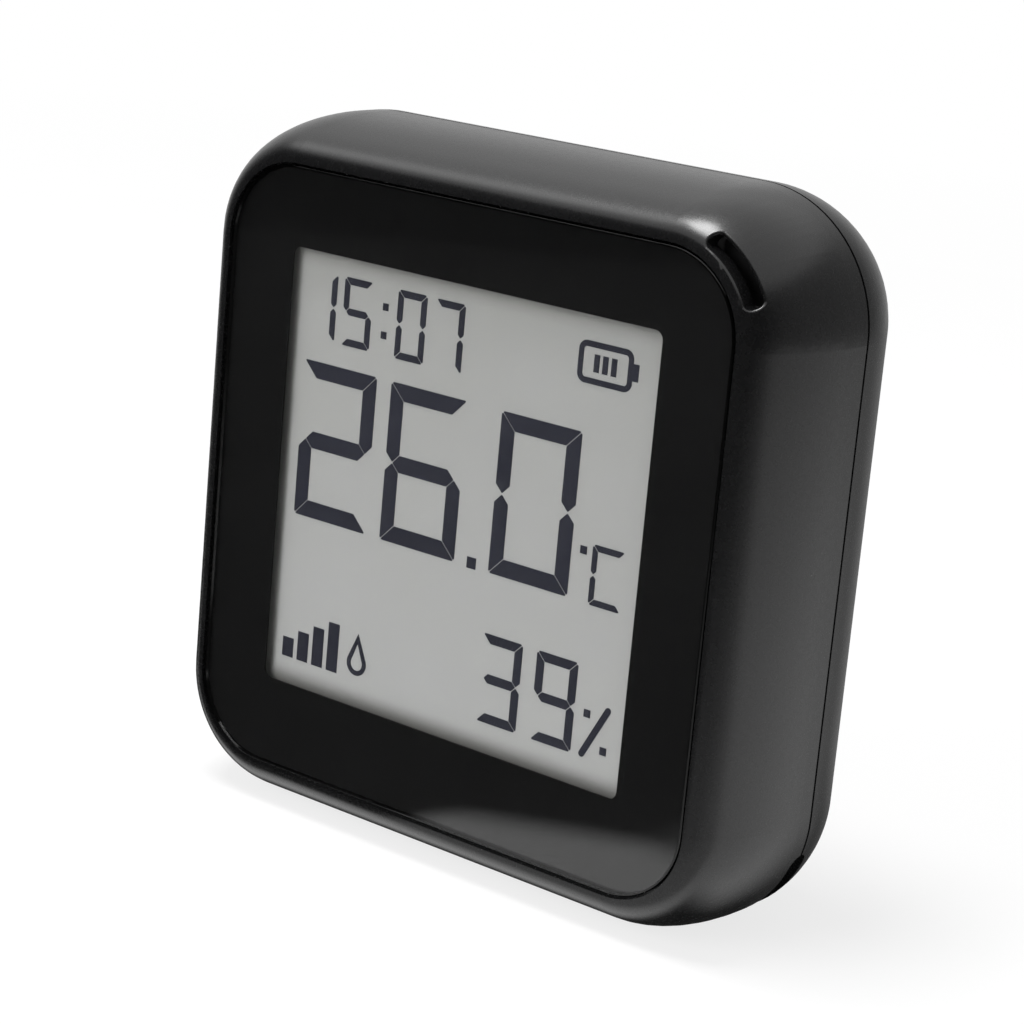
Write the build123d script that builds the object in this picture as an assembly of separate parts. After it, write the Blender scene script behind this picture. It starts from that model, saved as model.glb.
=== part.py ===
from build123d import *
from math import cos, radians, sqrt
import os

# Temperature and humidity sensor, in millimetres.
# The pieces are drawn with X to the right, Y as depth behind the front plane and Z up from
# the body's middle. The export step moves them to the row frame, which stands on its foot.

# Dry cells, which the body is built round
cell_diameter = 14.3
cell_length = 50.5
cell_count = 4
cell_gap = 0.4               # between neighbours
cell_edge = 0.6
cell_clearance = 0.15        # round a cell in its cradle
nub_diameter = 5.5
nub_length = 1.0

# Body
wall = 1.5
corner_radius = 12.7         # of the outline seen from the front
corner_core = 0.3            # by which the rear edge radius is less than the corner radius
shoulder_inset = 4.5         # how far the front shoulder draws the outline in
side_flat = 1.6              # straight depth between the front shoulder and the rear edge
seam_gap = 0.3
tray_room = 2.0              # between the tray's side and the cover's lip
boss_room = 0.4              # between a screw boss and the wall's inner face
cover_room = 1.35            # between the cells and the cover
foot_cut = 0.6               # the flat that is cut into the underside to stand on
overrun = 1.0                # how far a cut runs past the solid that it cuts

# Front pane and its border
rim_land = 0.08              # flat rim of the housing round the pane
lens_gap = 0.2
lens_recess = 0.1            # of the pane behind the housing's rim
lens_thickness = 0.9
lens_edge_radius = 0.25
mask_gap = 0.02              # between the pane's back and the border
mask_thickness = 0.18
mask_inset = 0.3             # of the border's outer edge from the pane's edge
window_top_past = 0.1        # of the window's top above where the outline's corners begin
window_foot_short = 0.95      # of the window's foot above where the lower corners begin
window_radius = 0.9
window_relief = 1.0          # by which the housing's opening is larger than the border's
face_plate = 0.8             # the housing wall behind the pane

# Air slot in the upper right corner, concentric with it
vent_inset = 3.05            # of the slot's middle line from the outline
vent_width = 1.1
vent_sweep = 39.0            # degrees between the middles of its round ends
vent_reach = 7.0             # how deep the slot is cut, into the hollow behind
vent_lip_radius = 0.22       # of the slot's rounded rim
vent_rim_reach = 0.1         # how far past the slot's sides its rim is sought

# Pry slot across the parting line, in the lower right corner
pry_length = 11.8
pry_width = 2.4
pry_depth = 1.1

# Display
film_margin = 1.7            # of the film past the window
film_thickness = 0.5
ledge_length = 2.2           # of the backplane below the film, where the ribbon is bonded
backplane_thickness = 0.7
foam_thickness = 0.3
foam_inset = 2.0
rib_gap = 0.2
rib_thickness = 0.6
board_thickness = 1.0
board_gap = 0.56             # between the board's edge and the housing's inner face

# Signs on the display. Shares are of the window's width and height, from its middle;
# a stroke, a square's side and a radius are shares of its width.
segment_thickness = 0.05
sign_shift_x = 0.27          # from where the shares put a sign, since they were
sign_shift_z = 0.14          # measured through the pane, which bends the view
segment_gap = 0.09
segment_round = 0.1
clock_digit_shares = (0.083, 0.1542, 0.0175)       # width, height, stroke
clock_left_shares = (-0.472, -0.37, -0.2164, -0.111)
clock_foot_share = 0.2971
clock_numerals = "1507"
colon_middle_shares = ((-0.2489, 0.3418), (-0.2489, 0.4042))
colon_side_share = 0.0157
reading_digit_shares = (0.2141, 0.3583, 0.039)
reading_left_shares = (-0.4709, -0.2164, 0.0908)
reading_foot_share = -0.1111
reading_numerals = "260"
point_middle_shares = (0.0448, -0.1009)
point_side_share = 0.0247
unit_digit_shares = (0.0852, 0.1327, 0.0155)
unit_place_shares = (0.3576, -0.1134)
degree_middle_shares = (0.3352, 0.0)
small_point_side_share = 0.0168
humidity_digit_shares = (0.111, 0.2007, 0.0225)
humidity_left_shares = (0.093, 0.241)
humidity_foot_share = -0.4433
humidity_numerals = "39"
percent_low_shares = (0.38, -0.4354)
percent_high_shares = (0.4372, -0.3265)
percent_stroke_share = 0.015
percent_point_shares = ((0.3845, -0.3458), (0.4339, -0.4161))
battery_size_shares = (0.139, 0.0896, 0.0125)
battery_radius_share = 0.0202
battery_place_shares = (0.2753, 0.3492)
battery_nub_shares = (0.0146, 0.0363)
battery_bar_shares = (0.0135, 0.0374)
battery_bar_left_shares = (0.3159, 0.3379, 0.3599)
signal_foot_share = -0.4478
signal_width_share = 0.0318
signal_left_shares = (-0.4753, -0.4307, -0.3861, -0.3415)
signal_height_shares = (0.0454, 0.0681, 0.0908, 0.1135)
drop_middle_shares = (-0.2534, -0.4093)
drop_radius_share = 0.028
drop_tip_share = 0.0673
drop_stroke_share = 0.0112

# Ribbon and its connector
ribbon_width = 14.0
ribbon_thickness = 0.15
ribbon_bend = 0.8
ribbon_drop = 4.0            # how far it hangs below its bonded end before it turns
ribbon_slot = 2.0
ribbon_side_room = 1.0
ribbon_end_room = 0.35       # in the connector's mouth, past the ribbon's end
connector_length = 3.6
connector_height = 1.1
connector_lip = 1.0
connector_mouth = 0.3
connector_reach = 1.6

# Power inlet in the left side
usb_width = 8.94
usb_height = 3.16
usb_length = 7.35
usb_sheet = 0.3
usb_recess = 0.6             # of its mouth behind the outer face
usb_clearance = 0.15
usb_drop = 12.0              # of its middle below the body's middle
tongue_width = 6.7
tongue_thickness = 0.7
tongue_length = 4.5
part_gap = 0.09              # between the inlet, the tallest part on the board, and the tray

# Radio module
radio_board_width = 18.0
radio_board_height = 20.0
radio_board_thickness = 0.8
radio_shield_width = 16.0
radio_shield_height = 14.5
radio_shield_drop = 2.0      # of the can's middle below its board's middle
radio_shield_gap = 0.15      # between the can and the tray
radio_x_share = 0.36         # of half the body's side
radio_z_share = 0.27

# Small parts on the back of the board: width, height off the board, length
chip_sizes = ((5.0, 1.0, 4.0), (3.0, 1.1, 3.0), (4.0, 2.0, 4.0), (3.2, 1.6, 1.6), (2.0, 1.2, 1.2))
chip_x_shares = (-0.3, -0.42, -0.18, -0.42, -0.3)
chip_z_shares = (0.42, -0.46, -0.5, -0.66, -0.66)

# Humidity chip and its collar
sensor_side = 1.5
sensor_height = 0.5
sensor_gap = 0.15
seal_gap = 0.1
seal_thickness = 0.4

# Battery tray
cradle_floor = 0.95
ridge_height = 3.4           # of the cradle's ridges above the tray's front
spring_room = 3.5
plate_room = 1.0
end_wall = 1.2
side_wall = 1.0
side_hold = 1.0              # of the side walls past the cells' middle
end_hold = 3.5               # of the end walls past the cells' middle
tray_corner = 3.0
deck_rise = 1.25
deck_thickness = 1.2
deck_gap = 0.15              # between the deck and the cover's lip
post_radius = 1.2
post_inset = 2.1             # of a post's middle from the tray's side
post_z_share = 0.715         # of half the tray's height
post_embed = 0.3

# Bosses and screws
boss_radius = 2.0
boss_gap = 0.4               # least gap between a boss and the tray's end wall
boss_rib_room = 2.15         # between a boss and the display rib's outer face
pilot_radius = 1.05
pilot_room = 1.8             # of the pilot hole past the screw's tip
screw_radius = 1.0
screw_length = 5.0
screw_hole_radius = 1.25
head_radius = 1.9
head_height = 1.2
recess_width = 0.5
recess_length = 2.2
recess_depth = 0.7
board_clearance = 0.3

# Contacts
contact_sheet = 0.4
contact_width = 10.0
contact_gap = 0.05           # of a contact plate from the cradle's ridges
leaf_width = 6.0
leaf_half_height = 3.1
dimple_radius = 2.0
tab_width = 3.0
tab_gap = 0.2

# Reset button
switch_side = 2.4
switch_height = 1.2
switch_well = 0.8
tip_radius = 0.5
tip_gap = 0.1
tip_entry = 0.35
stem_radius = 1.1
stem_gap = 0.1
stem_stand = 0.3             # of the stem's shoulder above the switch
stem_past_deck = 0.8
collar_radius = 1.4
collar_height = 0.8
button_inset = 1.8           # of its middle from the deck's lower edge
button_room = 3.0            # between the display's connector and its middle

# Back cover
lip_gap = 0.15
lip_thickness = 1.0
lip_reach = 1.7              # how far the lip enters the housing past the parting line
lip_room = 1.0               # between the tray's screw heads and the lip's front, in depth
lip_root = 1.6
snap_width = 9.0
snap_height = 0.1
snap_length = 0.5
snap_offset = 0.5            # of the snap from the lip's front
groove_depth = 0.3
groove_gap = 0.2
rail_width = 1.2
rail_gap = 0.3
rail_spacing = 20.0
rail_count = 3
rail_length = 40.0
keyhole_radius = 3.25
keyhole_slot = 3.4
keyhole_run = 5.5
keyhole_rise = 8.0

# Depths, from the front plane back
lens_back = lens_recess + lens_thickness
mask_front = lens_back + mask_gap
mask_back = mask_front + mask_thickness
plate_back = mask_back + face_plate
film_back = plate_back + film_thickness
backplane_back = film_back + backplane_thickness
board_front = backplane_back + foam_thickness
board_back = board_front + board_thickness
part_room = usb_height + part_gap
tray_front = board_back + part_room
cell_radius = cell_diameter / 2
cell_axis = tray_front + cradle_floor + cell_clearance + cell_radius
cell_back = cell_axis + cell_radius
body_depth = cell_back + cover_room + wall
rear_radius = corner_radius - corner_core
shoulder_depth = body_depth - rear_radius - side_flat
side_top = cell_axis + side_hold
end_top = cell_axis + end_hold
contact_front = tray_front + ridge_height + contact_gap
deck_front = tray_front + deck_rise
deck_back = deck_front + deck_thickness
head_top = deck_back + head_height
lip_front = head_top + lip_room
cover_front = lip_front + lip_reach
seam_depth = cover_front - seam_gap / 2
housing_back = seam_depth - seam_gap / 2
usb_axis = board_back + usb_height / 2

# Widths and heights, from the body's middle outwards
cell_pitch = cell_diameter + cell_gap
row_half = (cell_count - 1) * cell_pitch / 2
bay_half = (cell_length + spring_room + plate_room) / 2
bay_half_width = row_half + cell_radius + cell_clearance
tray_half_height = bay_half + end_wall
tray_half_width = bay_half_width + side_wall
lip_inset = wall + lip_gap
lip_inner_inset = lip_inset + lip_thickness
half_for_row = tray_half_width + tray_room + lip_inner_inset
half_for_length = tray_half_height + boss_gap + 2 * boss_radius + boss_room + wall
half_side = max(half_for_row, half_for_length)
body_side = 2 * half_side
corner_middle = half_side - corner_radius
window_top = corner_middle + window_top_past
window_foot = window_foot_short - corner_middle
window_width = 2 * corner_middle
window_height = window_top - window_foot
window_rise = (window_top + window_foot) / 2
foot_level = foot_cut - half_side
pocket_side = body_side - 2 * (shoulder_inset + rim_land)
lens_side = pocket_side - 2 * lens_gap
film_width = window_width + 2 * film_margin
film_height = window_height + 2 * film_margin
film_foot = window_rise - film_height / 2
rib_edge = film_width / 2 + window_rise + rib_gap + rib_thickness
boss_x = rib_edge - boss_rib_room - boss_radius
boss_z = half_side - wall - boss_room - boss_radius
deck_half = half_side - lip_inner_inset - deck_gap
button_x = -(ribbon_width / 2 + ribbon_side_room + button_room)
button_z = button_inset - deck_half


def front_plane(depth):
    """Plane at a depth, with X to the right and Z up; an extrusion runs towards the front."""
    return Plane((0, depth, 0), x_dir=(1, 0, 0), z_dir=(0, -1, 0))


def side_plane(x):
    """Plane across the body at x, with Z and then depth; an extrusion runs towards -X."""
    return Plane((x, 0, 0), x_dir=(0, 0, 1), z_dir=(-1, 0, 0))


def plate(outline, front, back):
    """An outline seen from the front, as a plate between two depths."""
    return extrude(front_plane(back) * outline, amount=back - front)


def rod(radius, front, back, x, z):
    return plate(Pos(x, z) * Circle(radius), front, back)


def block(width, height, front, back, x, z):
    return plate(Pos(x, z) * Rectangle(width, height), front, back)


def rounded(side, front, back):
    """A plate with the body's outline drawn in to the given side."""
    radius = corner_radius - (body_side - side) / 2
    return plate(RectangleRounded(side, side, radius), front, back)


def across(outline, high_x, low_x):
    """An outline in depth and height, run across the body from one x to another."""
    return extrude(side_plane(high_x) * outline, amount=high_x - low_x)


def wall_inset(inset, depth):
    """How far the profile drawn in by the inset lies inside the outline, in the shoulder."""
    reach = (shoulder_depth - depth) / (shoulder_depth - inset)
    return inset + (shoulder_inset - inset) * (1 - sqrt(1 - reach**2))


def shell_profile(inset, front, back):
    """The body's profile from a corner's middle outwards, drawn in by the inset."""
    core = corner_radius - shoulder_inset
    rear_core = corner_radius - rear_radius
    side_x = corner_radius - inset
    rear_start = body_depth - rear_radius
    back_y = body_depth - inset
    shoulder = EllipticalCenterArc(
        (core, shoulder_depth), shoulder_inset - inset, shoulder_depth - inset, start_angle=270, arc_size=90
    )
    rear = CenterArc((rear_core, rear_start), rear_radius - inset, 0, 90)
    outline = Curve() + [
        Line((0, inset), (core, inset)),
        shoulder,
        Line((side_x, shoulder_depth), (side_x, rear_start)),
        rear,
        Line((rear_core, back_y), (0, back_y)),
        Line((0, back_y), (0, inset)),
    ]
    band = Pos(corner_radius / 2, (front + back) / 2) * Rectangle(corner_radius, back - front)
    return make_face(outline.edges()) & band


def swept_round(profile, filled):
    """A profile taken round the body's outline: four sides, four corners and the middle."""
    run = 2 * corner_middle
    side = Pos(corner_middle, 0, -corner_middle) * extrude(profile, amount=run, dir=(0, 0, 1))
    corner = Pos(corner_middle, 0, -corner_middle) * revolve(profile, Axis.Y, 90)
    quarter_turns = (0, 90, 180, 270)
    pieces = [Rot(0, turn, 0) * piece for turn in quarter_turns for piece in (side, corner)]
    if filled:
        reach = profile.bounding_box()
        pieces.append(block(run, run, reach.min.Y, reach.max.Y, 0, 0))
    return Part() + pieces


def pillow(inset, front, back):
    """The body's rounded form, drawn in by the inset, between two depths."""
    return swept_round(shell_profile(inset, front, back), filled=True)


def ring(outer_inset, inner_inset, front, back):
    """The part of the body's wall between two insets and two depths."""
    profile = shell_profile(outer_inset, front, back) - shell_profile(inner_inset, front - overrun, back + overrun)
    return swept_round(profile, filled=False)


def above_foot(solid):
    """The solid without what lies below the flat foot."""
    ground = Box(2 * body_side, 2 * body_depth, body_side)
    return solid - Pos(0, 0, foot_level - body_side / 2) * ground


def window(relief, front, back):
    outline = RectangleRounded(window_width + 2 * relief, window_height + 2 * relief, window_radius + relief)
    return plate(Pos(0, window_rise) * outline, front, back)


def boss_places():
    return [(x, z) for x in (-boss_x, boss_x) for z in (-boss_z, boss_z)]


def pry_slot():
    """A round-ended slot across the parting line, as deep as the corner is round."""
    tangent = (1, 0, 1)
    outward = (1, 0, -1)
    corner = Plane((corner_middle, seam_depth, -corner_middle), x_dir=tangent, z_dir=outward)
    prism = extrude(corner * SlotOverall(pry_length, pry_width), amount=corner_radius + overrun)
    core = rod(corner_radius - pry_depth, 0, body_depth, corner_middle, -corner_middle)
    return prism - core


def usb_opening(clearance, low_x, high_x):
    outline = SlotOverall(usb_width + 2 * clearance, usb_height + 2 * clearance)
    return across(Pos(-usb_drop, usb_axis) * outline, high_x, low_x)


def vent_outline(width):
    """The air slot: an arc concentric with the body's corner."""
    start = (90 - vent_sweep) / 2
    line = CenterArc((corner_middle, corner_middle), corner_radius - vent_inset, start, vent_sweep)
    return SlotArc(line, width)


def vent_rim(body):
    """The edges where the air slot meets the outer surface."""
    near = plate(vent_outline(vent_width + 2 * vent_rim_reach), -overrun, plate_back)
    curves = body.edges().filter_by(GeomType.BSPLINE)
    return [edge for edge in curves if near.is_inside(edge.center())]


def front_housing():
    body = pillow(0, 0, housing_back) - pillow(wall, plate_back, housing_back + overrun)
    body -= rounded(pocket_side, -overrun, mask_back)
    body -= window(window_relief, 0, plate_back + overrun)
    body += display_rib()
    bosses = [rod(boss_radius, mask_back, deck_front, x, z) for x, z in boss_places()]
    body += (Part() + bosses) & pillow(wall / 2, 0, body_depth)
    for x, z in boss_places():
        body -= rod(pilot_radius, deck_back - screw_length - pilot_room, deck_front + overrun, x, z)
    body -= plate(vent_outline(vent_width), -overrun, vent_reach)
    body = fillet(vent_rim(body), vent_lip_radius)
    body -= usb_opening(usb_clearance, -half_side - overrun, corner_radius - half_side)
    for groove in snap_bars(groove_gap, lip_gap + groove_depth):
        body -= groove
    body -= pry_slot()
    return above_foot(body)


def display_rib():
    """The low rib that locates the display, open below for the ribbon."""
    width = film_width + 2 * rib_gap
    height = film_height + ledge_length + 2 * rib_gap
    middle = window_rise - ledge_length / 2
    outer = Rectangle(width + 2 * rib_thickness, height + 2 * rib_thickness)
    frame = plate(Pos(0, middle) * (outer - Rectangle(width, height)), mask_back, board_front)
    gap_width = ribbon_width + 2 * ribbon_side_room
    gap_height = rib_thickness + 2 * rib_gap
    gap_middle = middle - (height + rib_thickness) / 2
    return frame - block(gap_width, gap_height, plate_back, board_front, 0, gap_middle)


def front_lens():
    pane = rounded(lens_side, lens_recess, lens_back)
    return fillet(pane.edges().group_by(Axis.Y)[0], lens_edge_radius)


def lens_mask():
    border = rounded(lens_side - 2 * mask_inset, mask_front, mask_back)
    return border - window(0, 0, mask_back + overrun)


def display_film():
    return block(film_width, film_height, plate_back, film_back, 0, window_rise)


def display_backplane():
    height = film_height + ledge_length
    return block(film_width, height, film_back, backplane_back, 0, window_rise - ledge_length / 2)


def display_foam():
    width = film_width - 2 * foam_inset
    height = film_height - 2 * foam_inset
    return block(width, height, backplane_back, board_front, 0, window_rise)


def sign_place(shares):
    """A place on the display, from shares of the window's width and height."""
    x_share, z_share = shares
    return x_share * window_width + sign_shift_x, window_rise + z_share * window_height + sign_shift_z


def sign_size(shares):
    """Width, height and stroke of a sign, from shares of the window."""
    width_share, height_share, stroke_share = shares
    return width_share * window_width, height_share * window_height, stroke_share * window_width


def segment_outlines(width, height, stroke):
    """The seven bars of a numeral, by letter from the top one clockwise, the middle one last."""
    middle = height / 2
    half = stroke / 2
    top = [(0, height), (width, height), (width - stroke, height - stroke), (stroke, height - stroke)]
    upper = [
        (width, height),
        (width, middle + half),
        (width - half, middle),
        (width - stroke, middle + half),
        (width - stroke, height - stroke),
    ]
    centre = [
        (half, middle),
        (stroke, middle + half),
        (width - stroke, middle + half),
        (width - half, middle),
        (width - stroke, middle - half),
        (stroke, middle - half),
    ]
    turned_over = [(x, height - z) for x, z in upper]
    return {
        "a": top,
        "b": upper,
        "c": turned_over,
        "d": [(x, height - z) for x, z in top],
        "e": [(width - x, z) for x, z in turned_over],
        "f": [(width - x, z) for x, z in upper],
        "g": centre,
    }


numeral_segments = {
    "0": "abcdef",
    "1": "bc",
    "2": "abged",
    "3": "abgcd",
    "5": "afgcd",
    "6": "afgecd",
    "7": "abc",
    "9": "abcdfg",
    "C": "afed",
}


def numeral(sign, size_shares, place_shares):
    """The bars of one numeral, each drawn in by half the gap and softened at its corners."""
    outlines = segment_outlines(*sign_size(size_shares))
    bars = []
    for letter in numeral_segments[sign]:
        bar = make_face(Polyline(*outlines[letter], close=True).edges())
        core = offset(bar, amount=-segment_gap / 2 - segment_round, kind=Kind.INTERSECTION)
        bars.append(Pos(*sign_place(place_shares)) * offset(core, amount=segment_round, kind=Kind.ARC))
    return bars


def numeral_row(signs, size_shares, left_shares, foot_share):
    bars = []
    for sign, left_share in zip(signs, left_shares):
        bars += numeral(sign, size_shares, (left_share, foot_share))
    return bars


def square(middle_shares, side_share):
    side = side_share * window_width
    return Pos(*sign_place(middle_shares)) * Rectangle(side, side)


def bar_from(place_shares, width, height):
    """An upright bar, placed by its lower left corner."""
    left, foot = sign_place(place_shares)
    return Pos(left + width / 2, foot + height / 2) * Rectangle(width, height)


def clock_signs():
    signs = numeral_row(clock_numerals, clock_digit_shares, clock_left_shares, clock_foot_share)
    return signs + [square(middle, colon_side_share) for middle in colon_middle_shares]


def reading_signs():
    signs = numeral_row(reading_numerals, reading_digit_shares, reading_left_shares, reading_foot_share)
    signs += numeral("C", unit_digit_shares, unit_place_shares)
    signs.append(square(point_middle_shares, point_side_share))
    signs.append(square(degree_middle_shares, small_point_side_share))
    return signs


def humidity_signs():
    signs = numeral_row(humidity_numerals, humidity_digit_shares, humidity_left_shares, humidity_foot_share)
    signs += [square(middle, small_point_side_share) for middle in percent_point_shares]
    line = Line(sign_place(percent_low_shares), sign_place(percent_high_shares))
    signs.append(SlotArc(line, percent_stroke_share * window_width))
    return signs


def battery_signs():
    """An outline with a nub and a few charge bars."""
    width, height, stroke = sign_size(battery_size_shares)
    radius = battery_radius_share * window_width
    left, foot = sign_place(battery_place_shares)
    middle_z = foot + height / 2
    case = RectangleRounded(width, height, radius)
    case -= RectangleRounded(width - 2 * stroke, height - 2 * stroke, radius - stroke)
    case = Pos(left + width / 2, middle_z) * case
    nub_width, nub_height, _ = sign_size((*battery_nub_shares, 0))
    bar_width, bar_height, _ = sign_size((*battery_bar_shares, 0))
    case += Pos(left + width + nub_width / 2, middle_z) * Rectangle(nub_width, nub_height)
    signs = [case]
    for left_share in battery_bar_left_shares:
        bar_left, _ = sign_place((left_share, 0))
        signs.append(Pos(bar_left + bar_width / 2, middle_z) * Rectangle(bar_width, bar_height))
    return signs


def signal_signs():
    """Bars that rise from left to right."""
    width = signal_width_share * window_width
    bars = []
    for left_share, height_share in zip(signal_left_shares, signal_height_shares):
        bars.append(bar_from((left_share, signal_foot_share), width, height_share * window_height))
    return bars


def drop_outline(radius, tip):
    """A round end drawn out upwards to a tip."""
    half_angle = 30
    reach = radius * cos(radians(half_angle))
    rise = radius / 2
    spike = Polyline((-reach, rise), (0, tip), (reach, rise), close=True)
    return Circle(radius) + make_face(spike.edges())


def drop_sign():
    """A plain water drop in outline."""
    radius = drop_radius_share * window_width
    tip = drop_tip_share * window_width
    stroke = drop_stroke_share * window_width
    outline = drop_outline(radius, tip) - drop_outline(radius - stroke, tip - 2 * stroke)
    return Pos(*sign_place(drop_middle_shares)) * outline


def display_segments():
    signs = clock_signs() + reading_signs() + humidity_signs() + battery_signs() + signal_signs() + [drop_sign()]
    front = plate_back - segment_thickness
    return Compound(children=[solid for sign in signs for solid in plate(sign, front, plate_back).solids()])


def ribbon_place():
    """Where the ribbon is bonded, and how deep its returning run lies."""
    bonded_depth = film_back - ribbon_thickness / 2
    return film_foot, bonded_depth, board_back + connector_height / 2


def display_flex():
    """From the backplane's ledge down, through the board's slot, and up into the connector."""
    bonded_end, bonded_depth, return_depth = ribbon_place()
    turn = bonded_end - ribbon_drop
    connector_end = turn + connector_lip + connector_reach - ribbon_end_room
    points = [
        (bonded_end, bonded_depth),
        (turn, bonded_depth),
        (turn, return_depth),
        (connector_end, return_depth),
    ]
    path = FilletPolyline(*points, radius=ribbon_bend)
    return across(trace(path, line_width=ribbon_thickness), ribbon_width / 2, -ribbon_width / 2)


def display_connector():
    bonded_end, _, return_depth = ribbon_place()
    low = bonded_end - ribbon_drop + connector_lip
    width = ribbon_width + 2 * ribbon_side_room
    body = block(width, connector_length, board_back, board_back + connector_height, 0, low + connector_length / 2)
    slit = Pos(low + (connector_reach - overrun) / 2, return_depth) * Rectangle(connector_reach + overrun, connector_mouth)
    half_slit = ribbon_width / 2 + ribbon_thickness
    return body - across(slit, half_slit, -half_slit)


def board_half():
    """Half the board's side: clear of the housing's inner face, which is narrowest at its front."""
    return half_side - wall_inset(wall, board_front) - board_gap


def main_pcb():
    board = rounded(2 * board_half(), board_front, board_back)
    for x, z in boss_places():
        board -= rod(boss_radius + board_clearance, 0, body_depth, x, z)
    slot_z = film_foot - ribbon_drop
    slot_width = ribbon_width + 2 * ribbon_side_room
    return board - block(slot_width, ribbon_slot, 0, body_depth, 0, slot_z)


def circuit_parts():
    chips = []
    for (width, height, length), x_share, z_share in zip(chip_sizes, chip_x_shares, chip_z_shares):
        x = x_share * board_half()
        z = z_share * board_half()
        chips.append(block(width, length, board_back, board_back + height, x, z).solid())
    return Compound(children=chips)


def radio_board():
    back = board_back + radio_board_thickness
    x = radio_x_share * half_side
    z = radio_z_share * half_side
    return block(radio_board_width, radio_board_height, board_back, back, x, z)


def radio_shield():
    front = board_back + radio_board_thickness
    x = radio_x_share * half_side
    z = radio_z_share * half_side - radio_shield_drop
    return block(radio_shield_width, radio_shield_height, front, tray_front - radio_shield_gap, x, z)


def usb_mouth_x():
    """The inlet's mouth, a named recess behind the housing's outer face at its depth."""
    return usb_recess + wall_inset(0, usb_axis) - half_side


def usb_c_shell():
    mouth = usb_mouth_x()
    shell = usb_opening(0, mouth, mouth + usb_length)
    return shell - usb_opening(-usb_sheet, mouth - overrun, mouth + usb_length - usb_sheet)


def usb_c_tongue():
    root = usb_mouth_x() + usb_length - usb_sheet
    outline = Pos(-usb_drop, usb_axis) * Rectangle(tongue_width, tongue_thickness)
    return across(outline, root, root - tongue_length)


def sensor_middle():
    """The chip's place in X and Z alike: beside the display's rib and its collar."""
    return rib_edge + seal_gap + seal_thickness + sensor_gap + sensor_side / 2


def humidity_sensor():
    place = sensor_middle()
    return block(sensor_side, sensor_side, board_front - sensor_height, board_front, place, place)


def sensor_seal():
    """A foam angle between housing and board, on the two inner sides of the chip."""
    outer = sensor_middle() - sensor_side / 2 - sensor_gap - seal_thickness
    length = half_side - outer
    middle = outer + length / 2
    square_block = block(length, length, plate_back, board_front, middle, middle)
    inner_block = block(length, length, 0, body_depth, middle + seal_thickness, middle + seal_thickness)
    return (square_block - inner_block) & pillow(wall + seal_gap, plate_back, body_depth)


def cell_sides():
    """Each cell's x, and the side that its positive end points to: up and down in turn."""
    return [(index * cell_pitch - row_half, 1 - 2 * (index % 2)) for index in range(cell_count)]


def cell(x, up):
    """A dry cell with its nub; up is 1 with the nub at the top and -1 at the bottom."""
    nub_tip = bay_half - plate_room
    body_length = cell_length - nub_length
    can = Cylinder(cell_radius, body_length)
    can = fillet(can.edges().filter_by(GeomType.CIRCLE), cell_edge)
    can = Pos(0, 0, nub_tip - nub_length - body_length / 2) * can
    nub = Pos(0, 0, nub_tip - nub_length / 2) * Cylinder(nub_diameter / 2, nub_length)
    turn = 0 if up > 0 else 180
    return Pos(x, cell_axis, 0) * Rot(turn, 0, 0) * (can + nub)


def battery_tray():
    """Cradle, walls and deck in one moulding, with posts that hold the board down."""
    outline = RectangleRounded(2 * tray_half_width, 2 * tray_half_height, tray_corner)
    tray = plate(outline, tray_front, end_top)
    bay_width = 2 * bay_half_width
    tray -= block(bay_width, 2 * bay_half, tray_front + ridge_height, end_top + overrun, 0, 0)
    tray -= block(2 * tray_half_width + overrun, 2 * bay_half, side_top, end_top + overrun, 0, 0)
    for x, _ in cell_sides():
        groove = Cylinder(cell_radius + cell_clearance, 2 * bay_half)
        tray -= Pos(x, cell_axis, 0) * groove
    tray += deck()
    for x, z in boss_places():
        tray -= rod(screw_hole_radius, 0, body_depth, x, z)
    tray -= rod(stem_radius + stem_gap, 0, body_depth, button_x, button_z)
    post_x = tray_half_width - post_inset
    post_z = post_z_share * tray_half_height
    for x in (-post_x, post_x):
        for z in (-post_z, post_z):
            tray += rod(post_radius, board_back, tray_front + post_embed, x, z)
    for x, width in terminal_tabs():
        slot_width = width + 2 * tab_gap
        slot_height = contact_sheet + tab_gap
        tray -= block(slot_width, slot_height, 0, contact_front, x, bay_half - slot_height / 2)
    return tray


def deck():
    whole = rounded(2 * deck_half, deck_front, deck_back)
    trimmed = whole & block(2 * tray_half_width, 2 * deck_half, deck_front, deck_back, 0, 0)
    return trimmed - block(2 * bay_half_width, 2 * bay_half, 0, body_depth, 0, 0)


def terminal_tabs():
    """The x and width of the two tabs that go down to the board."""
    places = [x for x, _ in cell_sides()]
    return [(places[0], tab_width), (places[-1], tab_width)]


def contact_plate(low_x, high_x, side):
    """A sheet on the inner face of the upper or lower end wall."""
    middle_z = side * (bay_half - contact_sheet / 2)
    return block(high_x - low_x, contact_sheet, contact_front, end_top, (low_x + high_x) / 2, middle_z)


def contact_leaf(x, side):
    """A bowed leaf that presses on a cell's flat end."""
    sheet_z = bay_half - contact_sheet / 2
    crown_z = bay_half - spring_room + contact_sheet / 2
    bow = ThreePointArc(
        (side * sheet_z, cell_axis - leaf_half_height),
        (side * crown_z, cell_axis),
        (side * sheet_z, cell_axis + leaf_half_height),
    )
    return across(trace(bow, line_width=contact_sheet), x + leaf_width / 2, x - leaf_width / 2)


def contact_dimple(x, side):
    """A round dimple that a cell's nub touches."""
    height = plate_room - contact_sheet
    middle_z = side * (bay_half - contact_sheet - height / 2)
    return Pos(x, cell_axis, middle_z) * Cylinder(dimple_radius, height)


def terminal(x, positive):
    """An end contact at the top, with a tab down to the board."""
    half = contact_width / 2
    tab = block(tab_width, contact_sheet, board_back, contact_front, x, bay_half - contact_sheet / 2)
    press = contact_dimple(x, 1) if positive else contact_leaf(x, 1)
    return contact_plate(x - half, x + half, 1) + tab + press


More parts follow.
